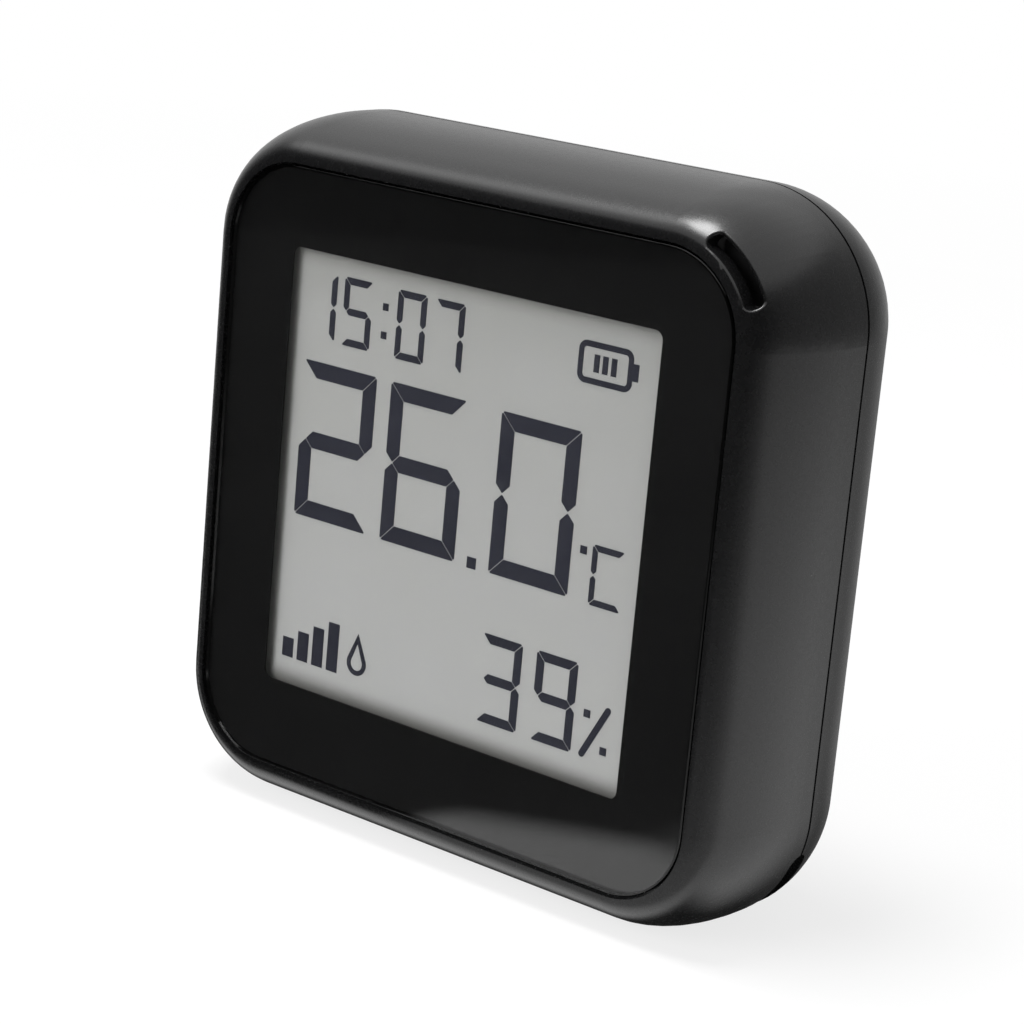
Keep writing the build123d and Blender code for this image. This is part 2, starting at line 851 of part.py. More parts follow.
def bridge_contacts():
    """Each plate joins a cell's flat end to the next cell's nub, at the bottom and top in turn."""
    half = contact_width / 2
    cells = cell_sides()
    bridges = []
    for (left_x, left_up), (right_x, _) in zip(cells, cells[1:]):
        side = -left_up
        plate_part = contact_plate(left_x - half, right_x + half, side)
        bridge = plate_part + contact_leaf(left_x, side) + contact_dimple(right_x, side)
        bridges.append(bridge.solid())
    return Compound(children=bridges)


def tray_screws():
    screws = []
    for x, z in boss_places():
        screw = rod(head_radius, deck_back, head_top, x, z)
        screw += rod(screw_radius, deck_back - screw_length, deck_back, x, z)
        for width, height in ((recess_width, recess_length), (recess_length, recess_width)):
            screw -= block(width, height, head_top - recess_depth, head_top + overrun, x, z)
        screws.append(screw.solid())
    return Compound(children=screws)


def reset_switch():
    base = block(switch_side, switch_side, board_back, board_back + switch_height, button_x, button_z)
    well_front = board_back + switch_height - switch_well
    return base - rod(tip_radius + tip_gap, well_front, board_back + switch_height + overrun, button_x, button_z)


def reset_button():
    """A stem through the tray's deck, kept in by a collar under it."""
    switch_top = board_back + switch_height
    shoulder = switch_top + stem_stand
    button = rod(tip_radius, switch_top - tip_entry, shoulder, button_x, button_z)
    button += rod(stem_radius, shoulder, deck_back + stem_past_deck, button_x, button_z)
    return button + rod(collar_radius, deck_front - collar_height, deck_front, button_x, button_z)


def snap_bars(gap, height):
    """A bar across the middle of each side, from inside the lip out to a height above it."""
    lip_face = half_side - lip_inset
    front = lip_front + snap_offset - gap
    back = front + snap_length + 2 * gap
    bars = []
    for turn in (0, 90, 180, 270):
        depth_in = lip_thickness / 2
        bar = block(depth_in + height, snap_width + 2 * gap, front, back, lip_face + (height - depth_in) / 2, 0)
        bars.append(Rot(0, turn, 0) * bar)
    return bars


def keyhole(x):
    head = Pos(x, keyhole_rise) * Circle(keyhole_radius)
    run = Pos(x, keyhole_rise + keyhole_run / 2) * Rectangle(keyhole_slot, keyhole_run)
    end = Pos(x, keyhole_rise + keyhole_run) * Circle(keyhole_slot / 2)
    return plate(head + run + end, body_depth - wall - overrun, body_depth + overrun)


def back_cover():
    cover = pillow(0, cover_front, body_depth) - pillow(wall, 0, body_depth)
    cover += ring(wall / 2, lip_inner_inset, housing_back, cover_front + lip_root)
    cover += ring(lip_inset, lip_inner_inset, lip_front, cover_front)
    for bar in snap_bars(0, snap_height):
        cover += bar
    inner_face = body_depth - wall
    for index in range(rail_count):
        z = (index - (rail_count - 1) / 2) * rail_spacing
        cover += block(rail_length, rail_width, cell_back + rail_gap, inner_face + wall / 2, 0, z)
    for x in (-cell_pitch, cell_pitch):
        cover -= keyhole(x)
    cover -= pry_slot()
    return above_foot(cover)


def all_pieces():
    pieces = {
        "front_housing": front_housing(),
        "front_lens": front_lens(),
        "lens_mask": lens_mask(),
        "display_film": display_film(),
        "display_segments": display_segments(),
        "display_backplane": display_backplane(),
        "display_foam": display_foam(),
        "display_flex": display_flex(),
        "display_connector": display_connector(),
        "main_pcb": main_pcb(),
        "circuit_parts": circuit_parts(),
        "radio_board": radio_board(),
        "radio_shield": radio_shield(),
        "usb_c_shell": usb_c_shell(),
        "usb_c_tongue": usb_c_tongue(),
        "humidity_sensor": humidity_sensor(),
        "sensor_seal": sensor_seal(),
        "battery_tray": battery_tray(),
        "positive_terminal": terminal(-row_half, True),
        "negative_terminal": terminal(row_half, False),
        "bridge_contacts": bridge_contacts(),
        "tray_screws": tray_screws(),
        "reset_switch": reset_switch(),
        "reset_button": reset_button(),
        "back_cover": back_cover(),
    }
    for number, (x, up) in enumerate(cell_sides(), start=1):
        pieces[f"cell_{number}"] = cell(x, up)
    return pieces


to_row_frame = Location((0, -body_depth / 2, -foot_level))
os.makedirs("parts", exist_ok=True)
for node, piece in all_pieces().items():
    export_step(piece.moved(to_row_frame), f"parts/{node}.step")
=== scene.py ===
"""The look of a small room sensor with a segment display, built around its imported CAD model."""

from math import cos, pi, radians, sin

import bmesh
import bpy
from mathutils import Matrix, Vector


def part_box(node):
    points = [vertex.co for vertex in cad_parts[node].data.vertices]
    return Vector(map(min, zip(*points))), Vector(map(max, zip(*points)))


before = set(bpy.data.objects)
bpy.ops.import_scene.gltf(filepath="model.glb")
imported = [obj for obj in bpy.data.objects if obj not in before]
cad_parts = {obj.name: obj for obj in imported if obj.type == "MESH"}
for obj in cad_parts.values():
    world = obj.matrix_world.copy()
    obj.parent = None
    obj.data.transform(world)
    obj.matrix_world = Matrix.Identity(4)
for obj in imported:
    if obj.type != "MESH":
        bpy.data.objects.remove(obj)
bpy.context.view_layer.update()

# Scale: the scene is in metres

MM = 0.001

# Camera

camera_place = (0.168633, -0.217979, 0.103989)
camera_azimuth = radians(38.122)      # from the object's front towards its right side
camera_elevation = radians(14.391)
camera_roll = radians(5.195)
camera_lens = 102.73                  # in the camera's own millimetres, as is the sensor's width
sensor_width = 36.0
near_clip = 0.01
far_clip = 20.0

# Stage

floor_radius = 4.0
floor_clear_radius = 0.16     # the floor's shadow shows in full within this distance
floor_fade_radius = 0.6
floor_pale = 0.92
floor_deep = 0.91
floor_patch = 30 * MM
floor_roughness = 0.9
floor_own_share = 0.78        # of the floor's look that is plain white near the object
disc_sides = 96
world_colour = (1.0, 1.0, 1.0)
world_light = 0.35
white_strength = 1.0

# The floor card, which shows in reflections only and whose glow is painted light and shade of the floor: its
# lit front

card_height = 0.00005
card_radius = 0.4
card_pale = 1.0
card_deep = 0.97
card_patch = 40 * MM
card_dark_low = 0.02          # of the dark room in front
card_dark_high = 0.04
card_front_line = -0.0148
card_front_soft = 0.001
lit_left = -0.008             # the lit floor in front of the object begins here
lit_left_soft = 0.003
lit_front = -0.0295           # and ends here, further out towards the right
lit_slope = -0.5
lit_slope_end = 0.012
lit_front_soft = 0.005
lit_level = 0.72
far_lit_left = 0.015          # right of here the front floor is lit more weakly further out
far_lit_soft = 0.01
far_lit_front = -0.17
far_lit_back = -0.03
far_lit_level = 0.5

# The floor card's sides and back, and the object's own shadow painted there

side_near = 0.06              # how far out the side floor is as bright as it gets
side_far = 0.26
side_near_level = 1.35
side_far_level = 0.9
shade_front = -0.0112
shade_front_soft = 0.0012
shade_right = 0.036
shade_slope = 0.5             # of the shade's right edge, which leans out towards the back
shade_slope_start = -0.005    # in front of here that edge doesn't lean
shade_soft = 0.005
shade_soft_slope = 0.2
shade_far = 0.06
shade_near_level = 0.03
shade_far_level = 0.36

# The wall card round the object, which shows in reflections only and whose glow is painted light and shade
# of the room

wall_radius = 0.38
wall_height = 0.33
wall_steps = 48
wall_front_glow = 0.01
wall_right_glow = 0.26
wall_left_glow = 0.72
wall_back_soft_share = 1 / 3  # of the radius, where its front fades into its back
wall_side_soft_share = 1 / 2

# The glow card, overhead on the left

glow_place = (-0.56, -0.13, 0.75)
glow_half = 0.19              # of its side
glow_level = 2.6
glow_bright_share = 0.75      # of the half side, where the brightness has fallen by half
glow_soft_share = 0.25
glow_patch = 100 * MM

# Lamps

top_lamp_place = (-0.19, -0.12, 0.93)
top_lamp_size = 0.36
top_lamp_power = 7.6
front_lamp_place = (-0.35, -0.9, 0.45)
front_lamp_size = 0.6
front_lamp_power = 6.0
lamp_target = (0, 0, 0.035)

# Noise, whose values mostly lie between these two

noise_low = 0.3
noise_high = 0.7
patch_detail = 3.0
rough_detail = 4.0
grain_detail = 2.0
rough_size_share = 3          # of the grain's size, for spots of like roughness

# Plain finishes: two colours in patches, the patches' size, a range of roughness, the grain's size and depth

plain_finishes = {
    "shell_black": {
        "pale": (0.0050, 0.0050, 0.00525), "deep": (0.0062, 0.0062, 0.00651), "patch": 9 * MM,
        "shine": (0.25, 0.29), "grain": 0.22 * MM, "depth": 0.001 * MM,
    },
    "border_black": {
        "pale": (0.0020, 0.0020, 0.0021), "deep": (0.0028, 0.0028, 0.00294), "patch": 7 * MM,
        "shine": (0.45, 0.55), "grain": 0.4 * MM, "depth": 0.0005 * MM, "Specular_IOR_Level": 0.1,
    },
    "segment_dark": {
        "pale": (0.010, 0.011, 0.022), "deep": (0.015, 0.016, 0.029), "patch": 5 * MM,
        "shine": (0.45, 0.55), "grain": 0.15 * MM, "depth": 0.002 * MM,
    },
    "foam_grey": {
        "pale": (0.045, 0.045, 0.045), "deep": (0.075, 0.075, 0.075), "patch": 0.6 * MM,
        "shine": (0.8, 0.95), "grain": 0.35 * MM, "depth": 0.12 * MM,
    },
    "ribbon_amber": {
        "pale": (0.45, 0.18, 0.03), "deep": (0.36, 0.13, 0.02), "patch": 3 * MM,
        "shine": (0.2, 0.32), "grain": 0.4 * MM, "depth": 0.004 * MM,
    },
    "connector_cream": {
        "pale": (0.72, 0.68, 0.58), "deep": (0.66, 0.61, 0.50), "patch": 2 * MM,
        "shine": (0.4, 0.5), "grain": 0.15 * MM, "depth": 0.003 * MM,
    },
    "board_black": {
        "pale": (0.009, 0.009, 0.00945), "deep": (0.014, 0.014, 0.0147), "patch": 4 * MM,
        "shine": (0.35, 0.45), "grain": 0.3 * MM, "depth": 0.01 * MM,
    },
    "chip_black": {
        "pale": (0.018, 0.018, 0.0189), "deep": (0.028, 0.028, 0.0294), "patch": 1 * MM,
        "shine": (0.5, 0.65), "grain": 0.08 * MM, "depth": 0.006 * MM,
    },
    "tongue_black": {
        "pale": (0.016, 0.016, 0.016), "deep": (0.024, 0.024, 0.024), "patch": 1 * MM,
        "shine": (0.4, 0.5), "grain": 0.1 * MM, "depth": 0.003 * MM,
    },
    "button_grey": {
        "pale": (0.48, 0.48, 0.48), "deep": (0.53, 0.53, 0.53), "patch": 1.5 * MM,
        "shine": (0.4, 0.5), "grain": 0.12 * MM, "depth": 0.003 * MM,
    },
    "tray_grey": {
        "pale": (0.036, 0.036, 0.0378), "deep": (0.048, 0.048, 0.0504), "patch": 8 * MM,
        "shine": (0.42, 0.52), "grain": 0.2 * MM, "depth": 0.006 * MM,
    },
}

# Sheet metals: two colours in patches, a range of roughness, and how far the fine lines stretch each way

metal_finishes = {
    "nickel_sheet": {
        "pale": (0.66, 0.64, 0.59), "deep": (0.58, 0.56, 0.52), "shine": (0.22, 0.36),
        "scale_shares": (1, 1, 0.05),
    },
    "screw_steel": {
        "pale": (0.5, 0.5, 0.52), "deep": (0.4, 0.4, 0.416), "shine": (0.25, 0.4),
        "scale_shares": (0.3, 1, 0.3),
    },
}
metal_patch = 2.5 * MM
metal_line = 0.12 * MM
metal_line_depth = 0.002 * MM

# Display film

film_margin = 1.7 * MM        # of the film past the window
# Painted shade: the film's colour darkens inside the window's edges, standing in for the border's shadow
film_left_painted_shade = 0.45 * MM   # of the border's soft shade inside the window
film_right_painted_shade = 0.6 * MM
film_foot_painted_shade = 1.25 * MM
film_top_painted_shade = 1.5 * MM
film_foot_colour = (0.418, 0.418, 0.415)
film_top_colour = (0.345, 0.345, 0.335)
film_cloud_colour = (0.40, 0.40, 0.41)
# The colour of that painted shade
film_painted_shade_colour = (0.165, 0.162, 0.155)
film_cloud_share = 0.25
film_cloud = 9 * MM
film_specular = 0.3
film_shine = (0.5, 0.6)
film_spot = 0.3 * MM
film_grain = 0.12 * MM
film_grain_depth = 0.002 * MM

# Pane

pane_bend = 1.6               # of light, its refractive index
pane_rim = 0.28 * MM          # the dark ground edge round the pane
pane_rim_soft = 0.028 * MM
pane_corner_middle = 22.3 * MM
pane_clear = (0.98, 0.98, 0.975)
pane_dark = (0.004, 0.004, 0.004)
pane_lamp_tint = (0.955, 0.96, 0.955)
pane_shine = (0.015, 0.035)
pane_spot = 6 * MM
pane_wave = 12 * MM
pane_wave_detail = 1.0
pane_wave_depth = 0.002 * MM

# Display glass

glass_bend = 1.5
glass_colour = (0.75, 0.8, 0.78)
glass_lamp_tint = (0.8, 0.85, 0.83)
glass_shine = (0.03, 0.08)
glass_spot = 4 * MM

# Cells

cells_nub_up = {"cell_1": True, "cell_2": False, "cell_3": True, "cell_4": False}
sleeve_start = 2.0 * MM       # of the printed sleeve from the nub's tip
sleeve_end = 0.9 * MM         # of its other edge from the flat end
sleeve_band = 13.0 * MM       # of the pale band's edge from the nub's tip
sleeve_soft = 0.05 * MM
sleeve_colours = ((0.10, 0.115, 0.13), (0.13, 0.145, 0.16))
band_colour = (0.42, 0.43, 0.44)
can_colour = (0.60, 0.59, 0.57)
cell_metallic = 0.6
cell_patch = 6 * MM
cell_shine = (0.22, 0.32)
cell_spot = 1.5 * MM
cell_grain = 0.5 * MM
cell_grain_depth = 0.004 * MM

# Helpers for node trees


def new_tree(name):
    """An empty material node tree with its output."""
    material = bpy.data.materials.new(name)
    material.use_nodes = True
    tree = material.node_tree
    tree.nodes.clear()
    output = tree.nodes.new("ShaderNodeOutputMaterial")
    return material, tree, output


def grey(level):
    return (level, level, level)


def places(tree):
    """The object's own coordinates, in metres."""
    return tree.nodes.new("ShaderNodeTexCoord").outputs["Object"]


def split_places(tree):
    split = tree.nodes.new("ShaderNodeSeparateXYZ")
    tree.links.new(places(tree), split.inputs["Vector"])
    return split.outputs["X"], split.outputs["Y"], split.outputs["Z"]


def distance_out(tree):
    """The distance from the object's own origin."""
    length = tree.nodes.new("ShaderNodeVectorMath")
    length.operation = "LENGTH"
    tree.links.new(places(tree), length.inputs[0])
    return length.outputs["Value"]


def step(tree, value, middle, soft):
    """A smooth step from zero to one about the middle."""
    node = tree.nodes.new("ShaderNodeMapRange")
    node.interpolation_type = "SMOOTHSTEP"
    node.inputs["From Min"].default_value = middle - soft
    node.inputs["From Max"].default_value = middle + soft
    tree.links.new(value, node.inputs["Value"])
    return node.outputs["Result"]


def spread(tree, value, low, high, new_low, new_high):
    """The value moved from one range to another and kept inside it."""
    node = tree.nodes.new("ShaderNodeMapRange")
    node.inputs["From Min"].default_value = low
    node.inputs["From Max"].default_value = high
    node.inputs["To Min"].default_value = new_low
    node.inputs["To Max"].default_value = new_high
    tree.links.new(value, node.inputs["Value"])
    return node.outputs["Result"]


def noise(tree, size, detail=grain_detail):
    """Noise whose features are about that size, in metres."""
    node = tree.nodes.new("ShaderNodeTexNoise")
    node.inputs["Scale"].default_value = 1 / size
    node.inputs["Detail"].default_value = detail
    tree.links.new(places(tree), node.inputs["Vector"])
    return node.outputs["Fac"]


def varied(tree, size, detail, low=0, high=1):
    """Noise of that size, stretched to the range from low to high."""
    return spread(tree, noise(tree, size, detail), noise_low, noise_high, low, high)


def math(tree, operation, first, second=0):
    """One sum of two values, which may be sockets or numbers."""
    node = tree.nodes.new("ShaderNodeMath")
    node.operation = operation
    for socket, value in zip(node.inputs, (first, second)):
        if isinstance(value, bpy.types.NodeSocket):
            tree.links.new(value, socket)
        else:
            socket.default_value = value
    return node.outputs["Value"]


def minus(tree, value):
    return math(tree, "MULTIPLY", value, -1)


def colour_socket(sockets, name):
    """The colour socket of that name, since a Mix node has one for each type of value."""
    return next(socket for socket in sockets if socket.name == name and socket.type == "RGBA")


def blend_colours(tree, share, first, second):
    """A mix of two colours by a share."""
    node = tree.nodes.new("ShaderNodeMix")
    node.data_type = "RGBA"
    tree.links.new(share, node.inputs["Factor"])
    for name, colour in (("A", first), ("B", second)):
        socket = colour_socket(node.inputs, name)
        if isinstance(colour, bpy.types.NodeSocket):
            tree.links.new(colour, socket)
        else:
            socket.default_value = (*colour, 1)
    return colour_socket(node.outputs, "Result")


def blend_shaders(tree, output, share, first, second):
    """Sends a mix of two shaders by a share to the output."""
    both = tree.nodes.new("ShaderNodeMixShader")
    for socket, value in zip(both.inputs, (share, first, second)):
        tree.links.new(value, socket)
    tree.links.new(both.outputs["Shader"], output.inputs["Surface"])


def bumped(tree, shader, height, depth):
    """Gives the shader a bump of that depth, in metres."""
    node = tree.nodes.new("ShaderNodeBump")
    node.inputs["Distance"].default_value = depth
    tree.links.new(height, node.inputs["Height"])
    tree.links.new(node.outputs["Normal"], shader.inputs["Normal"])


def principled(tree, output, **values):
    """The main shader, with its constants set on its own sockets."""
    shader = tree.nodes.new("ShaderNodeBsdfPrincipled")
    for name, value in values.items():
        shader.inputs[name.replace("_", " ")].default_value = value
    tree.links.new(shader.outputs["BSDF"], output.inputs["Surface"])
    return shader


def patchy(tree, shader, patch, pale, deep):
    """Gives the shader two colours in soft patches."""
    patches = varied(tree, patch, patch_detail)
    tree.links.new(blend_colours(tree, patches, pale, deep), shader.inputs["Base Color"])


def spotty(tree, shader, spot, detail, shine):
    """Gives the shader a roughness that varies in spots."""
    tree.links.new(varied(tree, spot, detail, *shine), shader.inputs["Roughness"])


# Materials


def plain_material(name, pale, deep, patch, shine, grain, depth, **values):
    """A plain solid material: its colour varies in patches, its roughness too, and its grain is a bump."""
    material, tree, output = new_tree(name)
    shader = principled(tree, output, **values)
    patchy(tree, shader, patch, pale, deep)
    spotty(tree, shader, rough_size_share * grain, rough_detail, shine)
    bumped(tree, shader, noise(tree, grain), depth)
    return material


def metal_material(name, pale, deep, shine, scale_shares):
    """Rolled sheet metal: fine lines along one direction and soft patches."""
    material, tree, output = new_tree(name)
    shader = principled(tree, output, Metallic=1.0)
    patchy(tree, shader, metal_patch, pale, deep)
    stretch = tree.nodes.new("ShaderNodeMapping")
    stretch.inputs["Scale"].default_value = scale_shares
    tree.links.new(places(tree), stretch.inputs["Vector"])
    lines = tree.nodes.new("ShaderNodeTexNoise")
    lines.inputs["Scale"].default_value = 1 / metal_line
    tree.links.new(stretch.outputs["Vector"], lines.inputs["Vector"])
    rough = spread(tree, lines.outputs["Fac"], noise_low, noise_high, *shine)
    tree.links.new(rough, shader.inputs["Roughness"])
    bumped(tree, shader, lines.outputs["Fac"], metal_line_depth)
    return material


def lamp_through(tree, output, shader, tint):
    """Lets lamp light pass the glass, so that what lies behind it is lit."""
    path = tree.nodes.new("ShaderNodeLightPath")
    clear = tree.nodes.new("ShaderNodeBsdfTransparent")
    clear.inputs["Color"].default_value = (*tint, 1)
    share = math(tree, "MAXIMUM", path.outputs["Is Shadow Ray"], path.outputs["Is Diffuse Ray"])
    blend_shaders(tree, output, share, shader.outputs["BSDF"], clear.outputs["BSDF"])


def pane_rim_share(tree):
    """One in the dark ground edge of the pane and zero inside it."""
    low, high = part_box("front_lens")
    radius = (high.x - low.x) / 2 - pane_corner_middle
    x, y, z = split_places(tree)
    across = math(tree, "SUBTRACT", math(tree, "ABSOLUTE", x), pane_corner_middle)
    above = math(tree, "SUBTRACT", z, (low.z + high.z) / 2)
    up = math(tree, "SUBTRACT", math(tree, "ABSOLUTE", above), pane_corner_middle)
    out = [math(tree, "POWER", math(tree, "MAXIMUM", value), 2) for value in (across, up)]
    distance = math(tree, "POWER", math(tree, "ADD", *out), 0.5)
    return step(tree, distance, radius - pane_rim, pane_rim_soft)


def pane_material():
    material, tree, output = new_tree("clear_pane")
    shader = principled(tree, output, IOR=pane_bend, Transmission_Weight=1.0)
    tint = blend_colours(tree, pane_rim_share(tree), pane_clear, pane_dark)
    tree.links.new(tint, shader.inputs["Base Color"])
    spotty(tree, shader, pane_spot, rough_detail, pane_shine)
    bumped(tree, shader, noise(tree, pane_wave, pane_wave_detail), pane_wave_depth)
    lamp_through(tree, output, shader, pane_lamp_tint)
    return material


def display_glass_material():
    material, tree, output = new_tree("display_glass")
    shader = principled(tree, output, Base_Color=(*glass_colour, 1), IOR=glass_bend, Transmission_Weight=1.0)
    spotty(tree, shader, glass_spot, grain_detail, glass_shine)
    lamp_through(tree, output, shader, glass_lamp_tint)
    return material


def clear_of_painted_shade(tree, x, z):
    """One in the open window and zero under the border, with the border's shade painted between."""
    low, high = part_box("display_film")
    left = low.x + film_margin + film_left_painted_shade / 2
    right = high.x - film_margin
    foot = low.z + film_margin + film_foot_painted_shade / 2
    top = high.z - film_margin - film_top_painted_shade / 2
    sides = (
        step(tree, x, left, film_left_painted_shade),
        step(tree, minus(tree, x), -right, film_right_painted_shade),
        step(tree, z, foot, film_foot_painted_shade),
        step(tree, minus(tree, z), -top, film_top_painted_shade),
    )
    share = sides[0]
    for side in sides[1:]:
        share = math(tree, "MINIMUM", share, side)
    return share


def display_material():
    """The film is a little paler towards its foot, and its colour is darkened round its window in a painted
    shade of the border.
    """
    material, tree, output = new_tree("display_grey")
    shader = principled(tree, output, Specular_IOR_Level=film_specular)
    low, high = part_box("display_film")
    x, y, z = split_places(tree)
    height = spread(tree, z, low.z, high.z, 0, 1)
    plain = blend_colours(tree, height, film_foot_colour, film_top_colour)
    cloud = math(tree, "MULTIPLY", varied(tree, film_cloud, patch_detail), film_cloud_share)
    mottled = blend_colours(tree, cloud, plain, film_cloud_colour)
    # Painted shade: the film's colour darkens towards the window's edges, standing in for the border's
    # shadow
    with_painted_shade = blend_colours(tree, clear_of_painted_shade(tree, x, z), film_painted_shade_colour, mottled)
    tree.links.new(with_painted_shade, shader.inputs["Base Color"])
    spotty(tree, shader, film_spot, patch_detail, film_shine)
    bumped(tree, shader, noise(tree, film_grain), film_grain_depth)
    return material


def sleeve_material(name):
    """A dark printed sleeve with a pale band by the nub, and the bare can at both ends."""
    low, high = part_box(name)
    material, tree, output = new_tree(name.replace("cell", "cell_sleeve"))
    shader = principled(tree, output, Metallic=cell_metallic)
    x, y, z = split_places(tree)
    nub_tip = high.z if cells_nub_up[name] else low.z
    along = math(tree, "ABSOLUTE", math(tree, "SUBTRACT", z, nub_tip))
    started = step(tree, along, sleeve_start, sleeve_soft)
    ended = step(tree, along, high.z - low.z - sleeve_end, sleeve_soft)
    printed = math(tree, "MULTIPLY", started, math(tree, "SUBTRACT", 1, ended))
    past_band = step(tree, along, sleeve_band, sleeve_soft)
    dark = blend_colours(tree, varied(tree, cell_patch, patch_detail), *sleeve_colours)
    sleeve = blend_colours(tree, past_band, band_colour, dark)
    tree.links.new(blend_colours(tree, printed, can_colour, sleeve), shader.inputs["Base Color"])
    spotty(tree, shader, cell_spot, rough_detail, cell_shine)
    bumped(tree, shader, noise(tree, cell_grain), cell_grain_depth)
    return material


def make_finishes():
    """Every finish but the cells' by the name of its material slot."""
    finishes = {
        "clear_pane": pane_material(),
        "display_grey": display_material(),
        "display_glass": display_glass_material(),
    }
    for slot, values in plain_finishes.items():
        finishes[slot] = plain_material(slot, **values)
    for slot, values in metal_finishes.items():
        finishes[slot] = metal_material(slot, **values)
    return finishes


def dress_nodes():
    """Gives every CAD node the finish of its material slot, and each cell its own sleeve."""
    finishes = make_finishes()
    for name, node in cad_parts.items():
        for slot in node.material_slots:
            if name in cells_nub_up:
                slot.material = sleeve_material(name)
            else:
                found = [finish for finish in finishes if finish in slot.material.name]
                slot.material = finishes[found[0]]


# Stage


def link(name, mesh, material):
    mesh.materials.append(material)
    piece = bpy.data.objects.new(name, mesh)
    bpy.context.scene.collection.objects.link(piece)
    return piece


def finished_mesh(name, form):
    mesh = bpy.data.meshes.new(name)
    form.to_mesh(mesh)
    form.free()
    return mesh


def disc_mesh(name, radius, height=0):
    form = bmesh.new()
    bmesh.ops.create_circle(form, cap_ends=True, radius=radius, segments=disc_sides)
    bmesh.ops.translate(form, vec=(0, 0, height), verts=form.verts)
    return finished_mesh(name, form)


def seen_directly(tree):
    """One where a ray comes from the camera, a mirror surface or glass, and zero elsewhere."""
    path = tree.nodes.new("ShaderNodeLightPath")
    sight = math(tree, "MAXIMUM", path.outputs["Is Camera Ray"], path.outputs["Is Glossy Ray"])
    return math(tree, "MAXIMUM", sight, path.outputs["Is Transmission Ray"])


def make_world():
    world = bpy.data.worlds.new("studio")
    bpy.context.scene.world = world
    world.use_nodes = True
    tree = world.node_tree
    tree.nodes.clear()
    output = tree.nodes.new("ShaderNodeOutputWorld")
    background = tree.nodes.new("ShaderNodeBackground")
    background.inputs["Color"].default_value = (*world_colour, 1)
    level = spread(tree, seen_directly(tree), 0, 1, world_light, white_strength)
    tree.links.new(level, background.inputs["Strength"])
    tree.links.new(background.outputs["Background"], output.inputs["Surface"])


def floor_material():
    """A matt floor that keeps the object's shadow near by and is plain white further out."""
    material, tree, output = new_tree("floor_white")
    matt = principled(tree, output, Roughness=floor_roughness)
    patchy(tree, matt, floor_patch, grey(floor_pale), grey(floor_deep))
    glow = tree.nodes.new("ShaderNodeEmission")
    glow.inputs["Strength"].default_value = white_strength
    white = spread(tree, distance_out(tree), floor_clear_radius, floor_fade_radius, floor_own_share, 1)
    share = math(tree, "MULTIPLY", white, seen_directly(tree))
    blend_shaders(tree, output, share, matt.outputs["BSDF"], glow.outputs["Emission"])
    return material


def make_floor():
    mesh = disc_mesh("floor", floor_radius)
    link("floor", mesh, floor_material())


# Cards


def hide_but_mirrored(card):
    """The card shows in mirror surfaces only and casts no shadow."""
    card.visible_camera = False
    card.visible_diffuse = False
    card.visible_shadow = False
    card.visible_volume_scatter = False


def emitter(tree, patch):
    """A plain light whose white varies a little in patches."""
    light = tree.nodes.new("ShaderNodeEmission")
    shades = blend_colours(tree, noise(tree, patch), grey(card_pale), grey(card_deep))
    tree.links.new(shades, light.inputs["Color"])
    return light


def front_light(tree, x, y):
    """The floor in front as painted light: a lit patch close by, a weaker glow further right, and else dark.
    """
    leaning = math(tree, "MULTIPLY", math(tree, "MINIMUM", x, lit_slope_end), lit_slope)
    right = step(tree, x, lit_left, lit_left_soft)
    near = step(tree, math(tree, "SUBTRACT", y, leaning), lit_front, lit_front_soft)
    patch = math(tree, "MULTIPLY", math(tree, "MULTIPLY", right, near), lit_level)
    fall = spread(tree, y, far_lit_front, far_lit_back, 0, far_lit_level)
    glow = math(tree, "MULTIPLY", step(tree, x, far_lit_left, far_lit_soft), fall)
    dark = spread(tree, noise(tree, card_patch), 0, 1, card_dark_low, card_dark_high)
    return math(tree, "MAXIMUM", math(tree, "MAXIMUM", patch, glow), dark)


def painted_own_shadow(tree, x, y):
    """One where the object's shadow on the floor below and behind it is painted into the card's glow, and
    zero elsewhere.
    """
    behind = math(tree, "MAXIMUM", y, shade_slope_start)
    edge = math(tree, "ADD", math(tree, "MULTIPLY", behind, shade_slope), shade_right)
    soft = math(tree, "ADD", math(tree, "MULTIPLY", behind, shade_soft_slope), shade_soft)
    past = math(tree, "DIVIDE", math(tree, "SUBTRACT", x, edge), soft)
    inside = step(tree, minus(tree, past), 0, 1)
    return math(tree, "MULTIPLY", step(tree, y, shade_front, shade_front_soft), inside)


def back_light(tree, x, y):
    """The floor beside and behind as painted light: bright near by, weaker further out, dark in the object's
    painted shadow.
    """
    open_level = spread(tree, distance_out(tree), side_near, side_far, side_near_level, side_far_level)
    shade_level = spread(tree, y, 0, shade_far, shade_near_level, shade_far_level)
    # Painted shadow: the object's own shade on the floor, darkening the card's glow
    with_painted_shade = painted_own_shadow(tree, x, y)
    kept = math(tree, "MULTIPLY", math(tree, "SUBTRACT", 1, with_painted_shade), open_level)
    return math(tree, "ADD", kept, math(tree, "MULTIPLY", with_painted_shade, shade_level))


def floor_card_material():
    """The floor's light and the object's shadow as the dark shell mirrors them, painted into the card's
    glow.
    """
    material, tree, output = new_tree("mat_grey")
    x, y, z = split_places(tree)
    glow = emitter(tree, card_patch)
    behind = step(tree, y, card_front_line, card_front_soft)
    front = math(tree, "MULTIPLY", math(tree, "SUBTRACT", 1, behind), front_light(tree, x, y))
    back = math(tree, "MULTIPLY", behind, back_light(tree, x, y))
    tree.links.new(math(tree, "ADD", front, back), glow.inputs["Strength"])
    tree.links.new(glow.outputs["Emission"], output.inputs["Surface"])
    return material


def make_floor_card():
    mesh = disc_mesh("floor_card", card_radius, card_height)
    hide_but_mirrored(link("floor_card", mesh, floor_card_material()))


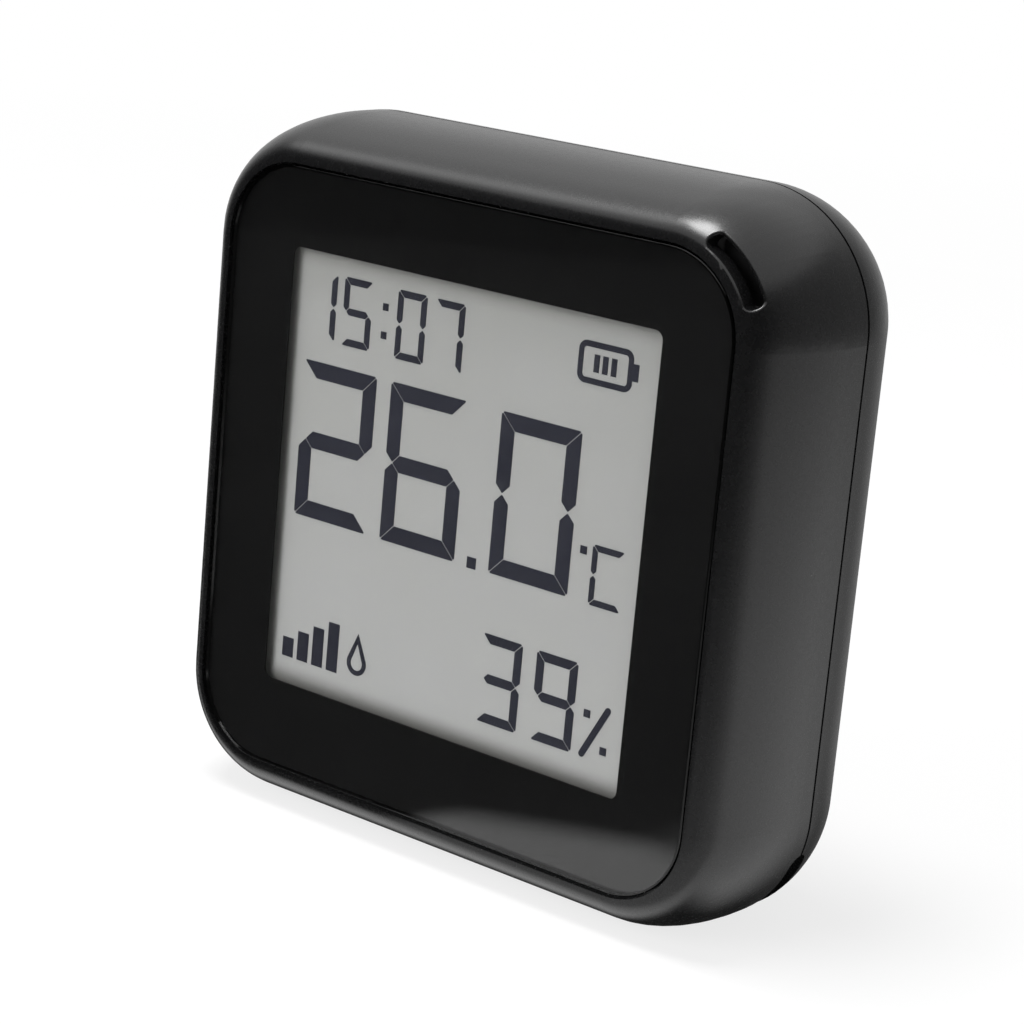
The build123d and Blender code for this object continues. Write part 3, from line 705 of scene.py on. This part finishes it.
def wall_material():
    """A painted reflection of the room's light: dark in front, dim behind on the right and brighter behind
    on the left.
    """
    material, tree, output = new_tree("wall_painted_reflection")
    x, y, z = split_places(tree)
    light = tree.nodes.new("ShaderNodeEmission")
    back_soft = wall_radius * wall_back_soft_share
    side_soft = wall_radius * wall_side_soft_share
    back = spread(tree, y, -back_soft, back_soft, 0, 1)
    right = spread(tree, x, -side_soft, side_soft, 0, 1)
    behind = blend_colours(tree, right, grey(wall_left_glow), grey(wall_right_glow))
    shades = blend_colours(tree, back, grey(wall_front_glow), behind)
    tree.links.new(shades, light.inputs["Color"])
    tree.links.new(light.outputs["Emission"], output.inputs["Surface"])
    return material


def make_wall():
    form = bmesh.new()
    turns = [2 * pi * k / wall_steps for k in range(wall_steps)]
    rings = []
    for z in (0, wall_height):
        rings.append([form.verts.new((wall_radius * cos(t), wall_radius * sin(t), z)) for t in turns])
    for k in range(wall_steps):
        after = (k + 1) % wall_steps
        form.faces.new((rings[0][k], rings[0][after], rings[1][after], rings[1][k]))
    mesh = finished_mesh("reflection_wall", form)
    hide_but_mirrored(link("reflection_wall", mesh, wall_material()))


def glow_material():
    """Brightest in its middle and faded towards its sides."""
    material, tree, output = new_tree("glow_white")
    x, y, z = split_places(tree)
    light = emitter(tree, glow_patch)
    light.inputs["Strength"].default_value = glow_level
    out = math(tree, "MAXIMUM", math(tree, "ABSOLUTE", x), math(tree, "ABSOLUTE", y))
    share = step(tree, minus(tree, out), -glow_half * glow_bright_share, glow_half * glow_soft_share)
    clear = tree.nodes.new("ShaderNodeBsdfTransparent")
    blend_shaders(tree, output, share, clear.outputs["BSDF"], light.outputs["Emission"])
    return material


def aimed(place, target):
    """The turn that points an object's back, its -Z side, from its place at the target."""
    return (Vector(target) - Vector(place)).to_track_quat("-Z", "Y").to_euler()


def make_glow():
    form = bmesh.new()
    corners = ((-1, -1), (1, -1), (1, 1), (-1, 1))
    form.faces.new([form.verts.new((x * glow_half, y * glow_half, 0)) for x, y in corners])
    mesh = finished_mesh("glow_card", form)
    card = link("glow_card", mesh, glow_material())
    card.location = glow_place
    card.rotation_euler = aimed(glow_place, lamp_target)
    hide_but_mirrored(card)


# Lamps and camera


def soft_lamp(name, place, size, power, shows):
    """A square area lamp that points at the object, and that mirror surfaces may show."""
    lamp = bpy.data.lights.new(name, "AREA")
    lamp.shape = "SQUARE"
    lamp.size = size
    lamp.energy = power
    holder = bpy.data.objects.new(name, lamp)
    bpy.context.scene.collection.objects.link(holder)
    holder.location = place
    holder.rotation_euler = aimed(place, lamp_target)
    holder.visible_camera = False
    holder.visible_glossy = shows


def make_lamps():
    soft_lamp("lamp_top", top_lamp_place, top_lamp_size, top_lamp_power, shows=True)
    soft_lamp("lamp_front", front_lamp_place, front_lamp_size, front_lamp_power, shows=False)


def make_camera():
    data = bpy.data.cameras.new("camera")
    data.lens = camera_lens
    data.sensor_width = sensor_width
    data.clip_start = near_clip
    data.clip_end = far_clip
    camera = bpy.data.objects.new("camera", data)
    bpy.context.scene.collection.objects.link(camera)
    turn = Matrix.Rotation(camera_azimuth, 4, "Z")
    turn @= Matrix.Rotation(pi / 2 - camera_elevation, 4, "X")
    turn @= Matrix.Rotation(camera_roll, 4, "Z")
    camera.matrix_world = Matrix.Translation(camera_place) @ turn
    bpy.context.scene.camera = camera


bpy.context.scene.view_settings.view_transform = "Standard"
dress_nodes()
make_world()
make_floor()
make_floor_card()
make_wall()
make_glow()
make_lamps()
make_camera()
